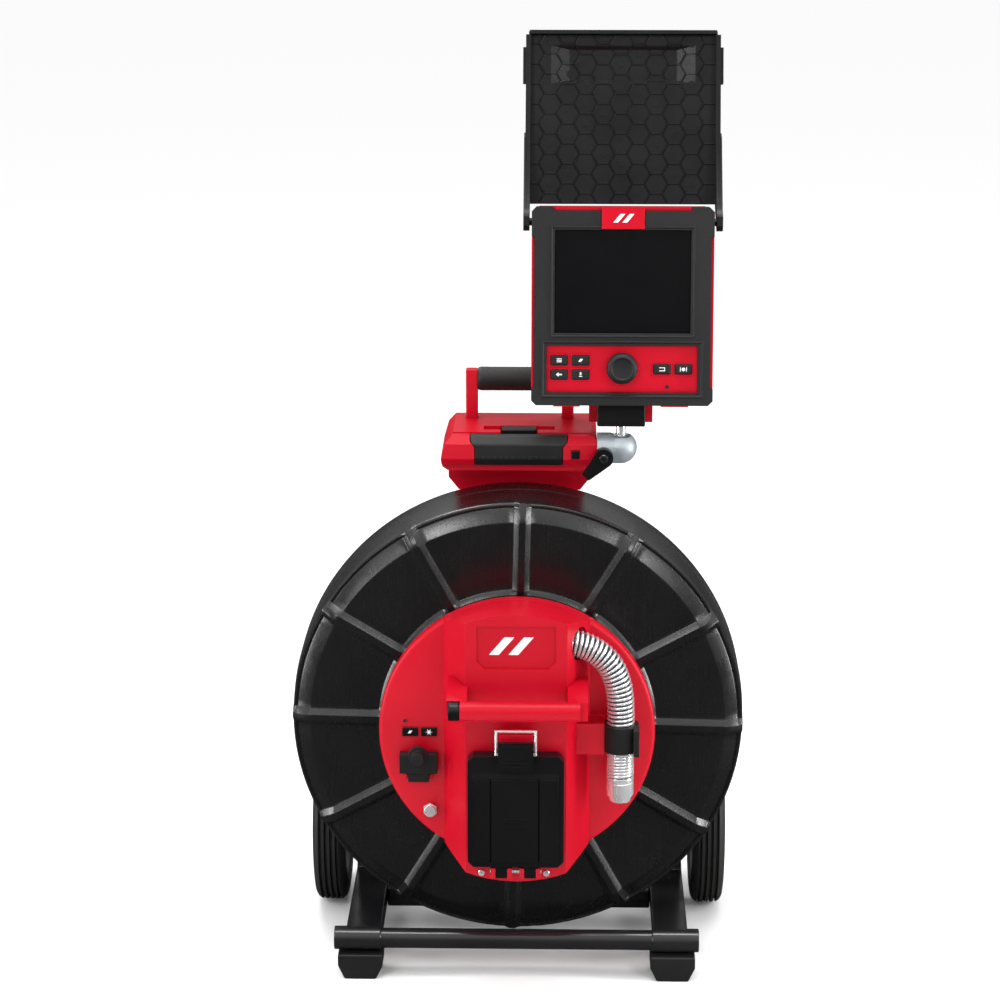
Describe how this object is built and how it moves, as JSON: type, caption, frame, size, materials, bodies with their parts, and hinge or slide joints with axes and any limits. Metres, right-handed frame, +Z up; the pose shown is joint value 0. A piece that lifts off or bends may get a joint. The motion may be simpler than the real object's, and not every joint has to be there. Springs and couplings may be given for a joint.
{
  "type": "inspection camera",
  "caption": "Wheeled push-cable inspection camera: cable drum on a floor frame, battery hub, telescoping handle and a tilting monitor with a folding visor.",
  "frame": {"origin": "on the floor, at the middle of the object's width and depth", "axes": "+Z up, front towards -Y, +X to the right seen from the front"},
  "size_m": [0.484, 0.41, 0.9916],
  "materials": {
    "red_plastic": "satin moulded red plastic",
    "black_plastic": "satin moulded black plastic",
    "black_rubber": "matt rubber",
    "tyre": "matt ribbed tyre",
    "black_paint": "gloss black paint",
    "steel": "bright plated steel",
    "casting": "fine grey die casting",
    "glass": "black gloss screen"
  },
  "bodies": {
    "frame": {"left_leg": "black_paint", "right_leg": "black_paint", "left_foot": "black_rubber", "right_foot": "black_rubber", "left_upright": "black_paint", "right_upright": "black_paint", "front_bar": "black_paint", "lower_crossbar": "black_paint", "rear_crossbar": "black_paint", "wheel_axle": "steel", "spindle_plate": "black_paint", "spindle": "steel", "hub_base": "red_plastic", "hub_cover": "red_plastic", "battery_pack": "black_plastic", "door_hinge_pin": "steel", "hub_handle": "red_plastic", "handle_end_cap": "black_plastic", "chrome_connector": "steel", "camera_spring": "steel", "camera_head": "steel", "strap_clamp": "black_rubber", "top_housing_front": "red_plastic", "top_housing_rear": "red_plastic", "front_grip": "black_rubber", "ball_housing": "casting"},
    "left_wheel": {"left_wheel": "black_plastic", "left_tyre": "tyre"},
    "right_wheel": {"right_wheel": "black_plastic", "right_tyre": "tyre"},
    "drum": {"drum_front_shell": "black_plastic", "drum_rear_shell": "black_plastic", "drum_bearing": "steel", "push_cable_coil": "black_rubber"},
    "hub_button_left": {"hub_button_left": "black_plastic"},
    "hub_button_right": {"hub_button_right": "black_plastic"},
    "port_cover": {"port_cover": "black_rubber"},
    "battery_door": {"battery_door": "black_plastic"},
    "latch_plate": {"latch_plate": "black_plastic"},
    "latch_bail": {"latch_bail": "steel"},
    "telescoping_handle": {"telescoping_handle": "red_plastic", "rear_grip": "black_rubber"},
    "handle_latch": {"handle_latch": "black_plastic"},
    "housing_button": {"housing_button": "black_plastic"},
    "clamp_lever": {"clamp_lever": "black_plastic"},
    "pivot_ball": {"pivot_ball": "steel"},
    "ball_stud": {"ball_stud": "steel"},
    "monitor": {"mount_block": "black_plastic", "monitor_bezel": "black_rubber", "monitor_rear_shell": "red_plastic", "screen_glass": "glass", "control_panel": "red_plastic"},
    "control_knob": {"control_knob": "black_rubber"},
    "sun_visor": {"sun_visor": "black_plastic"},
    "monitor_key_menu": {"monitor_key_menu": "black_rubber"},
    "monitor_key_record": {"monitor_key_record": "black_rubber"},
    "monitor_key_back": {"monitor_key_back": "black_rubber"},
    "monitor_key_audio": {"monitor_key_audio": "black_rubber"},
    "monitor_key_enter": {"monitor_key_enter": "black_rubber"},
    "monitor_key_photo": {"monitor_key_photo": "black_rubber"}
  },
  "joints": [
    {"name": "drum_spin", "type": "hinge", "parent": "frame", "child": "drum", "pos_m": [0, -0.02, 0.277], "axis": [0, 1, 0], "continuous": true},
    {"name": "left_wheel_spin", "type": "hinge", "parent": "frame", "child": "left_wheel", "pos_m": [-0.213, 0.112, 0.093], "axis": [1, 0, 0], "continuous": true},
    {"name": "right_wheel_spin", "type": "hinge", "parent": "frame", "child": "right_wheel", "pos_m": [0.213, 0.112, 0.093], "axis": [1, 0, 0], "continuous": true},
    {"name": "hub_button_left_press", "type": "slide", "parent": "frame", "child": "hub_button_left", "axis": [0, 1, 0], "range_m": [0, 0.0015], "stiffness_N_per_m": 500},
    {"name": "hub_button_right_press", "type": "slide", "parent": "frame", "child": "hub_button_right", "axis": [0, 1, 0], "range_m": [0, 0.0015], "stiffness_N_per_m": 500},
    {"name": "port_cover_hinge", "type": "hinge", "parent": "frame", "child": "port_cover", "pos_m": [-0.104, -0.114, 0.255], "axis": [-1, 0, 0], "range_deg": [0, 78]},
    {"name": "battery_door_hinge", "type": "hinge", "parent": "frame", "child": "battery_door", "pos_m": [0, -0.167, 0.145], "axis": [1, 0, 0], "range_deg": [0, 95]},
    {"name": "latch_plate_hinge", "type": "hinge", "parent": "battery_door", "child": "latch_plate", "pos_m": [0, -0.18, 0.267], "axis": [1, 0, 0], "range_deg": [0, 85]},
    {"name": "latch_bail_hinge", "type": "hinge", "parent": "latch_plate", "child": "latch_bail", "pos_m": [0, -0.181, 0.28], "axis": [1, 0, 0], "range_deg": [0, 80]},
    {"name": "handle_slide", "type": "slide", "parent": "frame", "child": "telescoping_handle", "axis": [0, 0, 1], "range_m": [0, 0.16]},
    {"name": "handle_latch_slide", "type": "slide", "parent": "frame", "child": "handle_latch", "axis": [0, -1, 0], "range_m": [0, 0.006], "stiffness_N_per_m": 600},
    {"name": "housing_button_press", "type": "slide", "parent": "frame", "child": "housing_button", "axis": [0, 1, 0], "range_m": [0, 0.002], "stiffness_N_per_m": 500},
    {"name": "clamp_lever_turn", "type": "hinge", "parent": "frame", "child": "clamp_lever", "pos_m": [0.09, -0.024, 0.556], "axis": [0, 1, 0], "range_deg": [-60, 60]},
    {"name": "monitor_lean", "type": "hinge", "parent": "frame", "child": "pivot_ball", "pos_m": [0.1085, 0.002, 0.561], "axis": [0, 1, 0], "range_deg": [-8, 12]},
    {"name": "monitor_tilt", "type": "hinge", "parent": "pivot_ball", "child": "ball_stud", "pos_m": [0.1085, 0.002, 0.561], "axis": [1, 0, 0], "range_deg": [-3, 20]},
    {"name": "monitor_pan", "type": "hinge", "parent": "ball_stud", "child": "monitor", "pos_m": [0.1085, 0.002, 0.561], "axis": [0, 0.1392, 0.9903], "range_deg": [-10, 80]},
    {"name": "control_knob_turn", "type": "hinge", "parent": "monitor", "child": "control_knob", "pos_m": [0.1085, -0.01567, 0.65083], "axis": [0, 0.9903, -0.1392], "continuous": true},
    {"name": "sun_visor_hinge", "type": "hinge", "parent": "monitor", "child": "sun_visor", "pos_m": [0.1085, 0.01942, 0.7999], "axis": [1, 0, 0], "range_deg": [-2, 186]},
    {"name": "monitor_key_menu_press", "type": "slide", "parent": "monitor", "child": "monitor_key_menu", "axis": [0, 0.9903, -0.1392], "range_m": [0, 0.0012], "stiffness_N_per_m": 500},
    {"name": "monitor_key_record_press", "type": "slide", "parent": "monitor", "child": "monitor_key_record", "axis": [0, 0.9903, -0.1392], "range_m": [0, 0.0012], "stiffness_N_per_m": 500},
    {"name": "monitor_key_back_press", "type": "slide", "parent": "monitor", "child": "monitor_key_back", "axis": [0, 0.9903, -0.1392], "range_m": [0, 0.0012], "stiffness_N_per_m": 500},
    {"name": "monitor_key_audio_press", "type": "slide", "parent": "monitor", "child": "monitor_key_audio", "axis": [0, 0.9903, -0.1392], "range_m": [0, 0.0012], "stiffness_N_per_m": 500},
    {"name": "monitor_key_enter_press", "type": "slide", "parent": "monitor", "child": "monitor_key_enter", "axis": [0, 0.9903, -0.1392], "range_m": [0, 0.0012], "stiffness_N_per_m": 500},
    {"name": "monitor_key_photo_press", "type": "slide", "parent": "monitor", "child": "monitor_key_photo", "axis": [0, 0.9903, -0.1392], "range_m": [0, 0.0012], "stiffness_N_per_m": 500}
  ]
}
